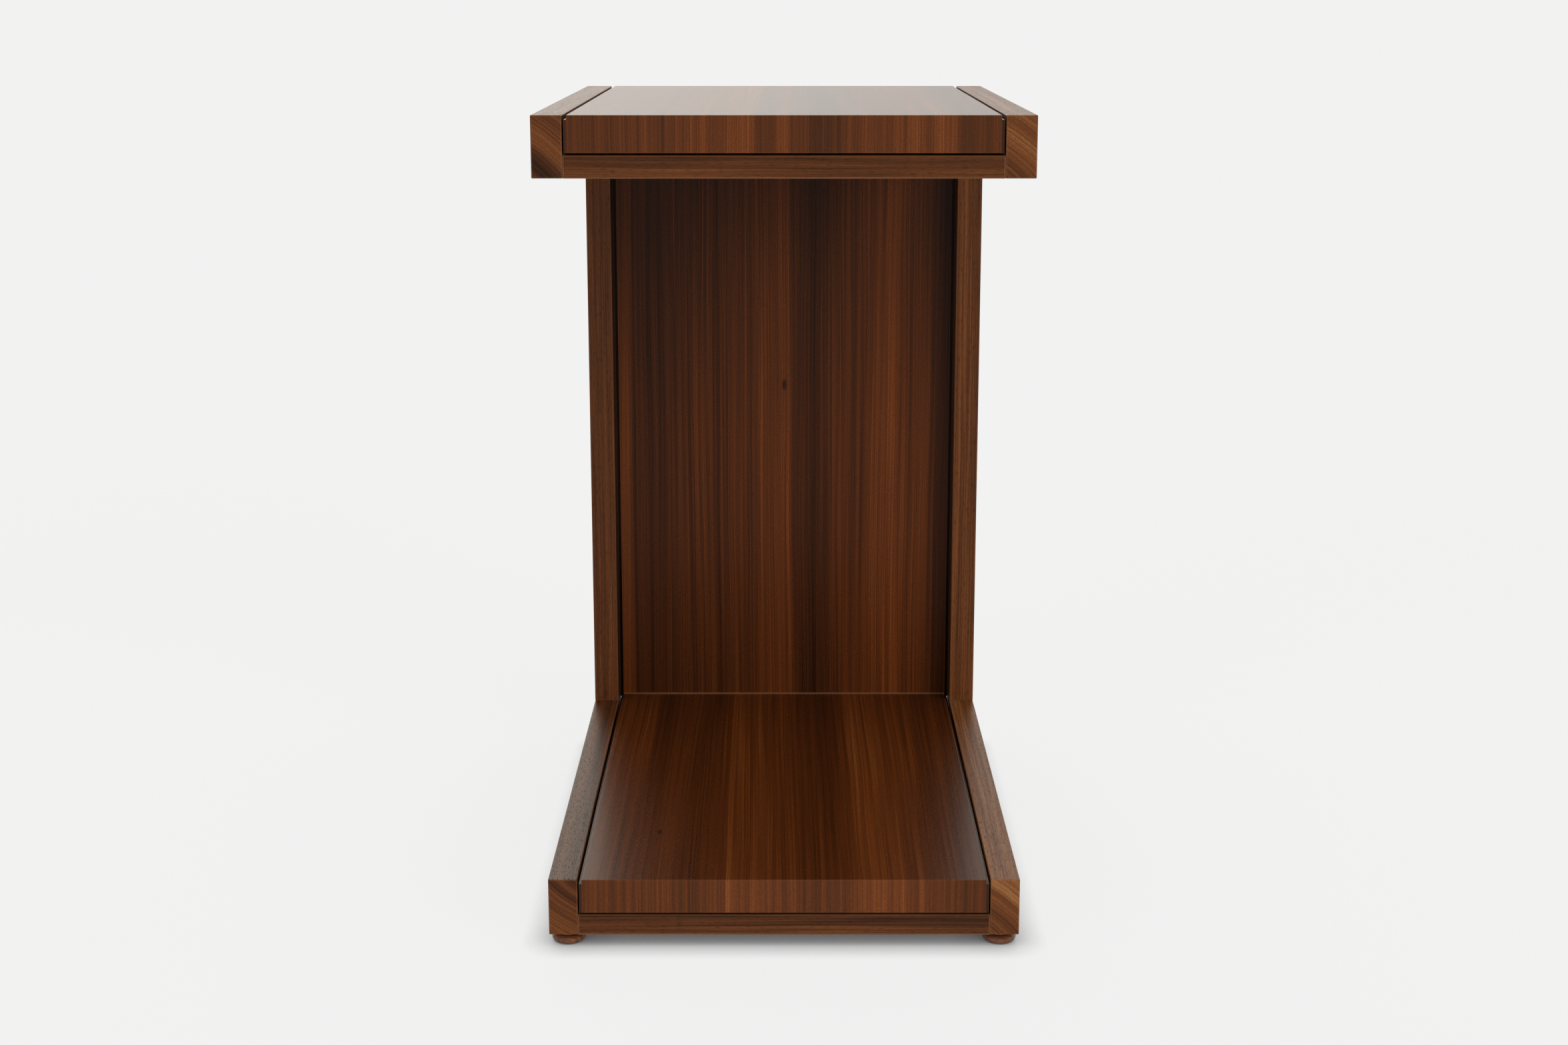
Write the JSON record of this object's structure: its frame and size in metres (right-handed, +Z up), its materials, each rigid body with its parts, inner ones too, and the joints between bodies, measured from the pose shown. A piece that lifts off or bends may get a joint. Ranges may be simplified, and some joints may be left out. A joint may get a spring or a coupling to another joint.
{
  "type": "side table",
  "caption": "C-shaped walnut side table: panels with recessed reveals between two solid side frames, cross rails, and levelling feet.",
  "frame": {"origin": "on the floor under the middle of the table", "axes": "+X to the right seen from the open side, +Y to the closed back, +Z up"},
  "size_m": [0.3556, 0.4572, 0.6241],
  "materials": {
    "walnut_solid": "satin oil, straight grain along each bar",
    "walnut_veneer": "satin lacquer over sequence-matched veneer",
    "walnut_dark": "matt stained",
    "beech": "raw",
    "black_nylon": "moulded",
    "zinc_steel": "bright zinc plate",
    "brass": "turned",
    "brown_plastic": "polished, wood brown"
  },
  "bodies": {
    "frame": {"left_top_bar": "walnut_solid", "right_top_bar": "walnut_solid", "left_upright": "walnut_solid", "right_upright": "walnut_solid", "left_base_bar": "walnut_solid", "right_base_bar": "walnut_solid", "top_front_rail": "walnut_solid", "top_rear_rail": "walnut_solid", "base_front_rail": "walnut_solid", "base_rear_rail": "walnut_solid", "top_panel": "walnut_veneer", "back_panel": "walnut_veneer", "base_panel": "walnut_veneer", "left_top_strip": "walnut_dark", "left_back_strip": "walnut_dark", "left_base_strip": "walnut_dark", "right_top_strip": "walnut_dark", "right_back_strip": "walnut_dark", "right_base_strip": "walnut_dark", "frame_tenons": "beech", "mitre_splines": "beech", "rail_dowels": "beech", "panel_spacers": "black_nylon", "panel_screws": "zinc_steel", "foot_inserts": "brass"},
    "front_left_pad": {"front_left_pad": "brown_plastic"},
    "front_left_screw": {"front_left_collar": "brown_plastic", "front_left_stud": "zinc_steel"},
    "front_right_pad": {"front_right_pad": "brown_plastic"},
    "front_right_screw": {"front_right_collar": "brown_plastic", "front_right_stud": "zinc_steel"},
    "rear_left_pad": {"rear_left_pad": "brown_plastic"},
    "rear_left_screw": {"rear_left_collar": "brown_plastic", "rear_left_stud": "zinc_steel"},
    "rear_right_pad": {"rear_right_pad": "brown_plastic"},
    "rear_right_screw": {"rear_right_collar": "brown_plastic", "rear_right_stud": "zinc_steel"}
  },
  "joints": [
    {"name": "front_left_slide", "type": "slide", "parent": "frame", "child": "front_left_pad", "axis": [0, 0, -1], "range_m": [0, 0.006]},
    {"name": "front_left_turn", "type": "hinge", "parent": "front_left_pad", "child": "front_left_screw", "pos_m": [-0.1642, -0.2141, 0], "axis": [0, 0, -1], "range_deg": [0, 2160]},
    {"name": "front_right_slide", "type": "slide", "parent": "frame", "child": "front_right_pad", "axis": [0, 0, -1], "range_m": [0, 0.006]},
    {"name": "front_right_turn", "type": "hinge", "parent": "front_right_pad", "child": "front_right_screw", "pos_m": [0.1642, -0.2141, 0], "axis": [0, 0, -1], "range_deg": [0, 2160]},
    {"name": "rear_left_slide", "type": "slide", "parent": "frame", "child": "rear_left_pad", "axis": [0, 0, -1], "range_m": [0, 0.006]},
    {"name": "rear_left_turn", "type": "hinge", "parent": "rear_left_pad", "child": "rear_left_screw", "pos_m": [-0.1642, 0.2141, 0], "axis": [0, 0, -1], "range_deg": [0, 2160]},
    {"name": "rear_right_slide", "type": "slide", "parent": "frame", "child": "rear_right_pad", "axis": [0, 0, -1], "range_m": [0, 0.006]},
    {"name": "rear_right_turn", "type": "hinge", "parent": "rear_right_pad", "child": "rear_right_screw", "pos_m": [0.1642, 0.2141, 0], "axis": [0, 0, -1], "range_deg": [0, 2160]}
  ],
  "couplings": [
    {"joint": "front_left_turn", "follows": "front_left_slide", "rad_per_m": 6283.2},
    {"joint": "front_right_turn", "follows": "front_right_slide", "rad_per_m": 6283.2},
    {"joint": "rear_left_turn", "follows": "rear_left_slide", "rad_per_m": 6283.2},
    {"joint": "rear_right_turn", "follows": "rear_right_slide", "rad_per_m": 6283.2}
  ]
}
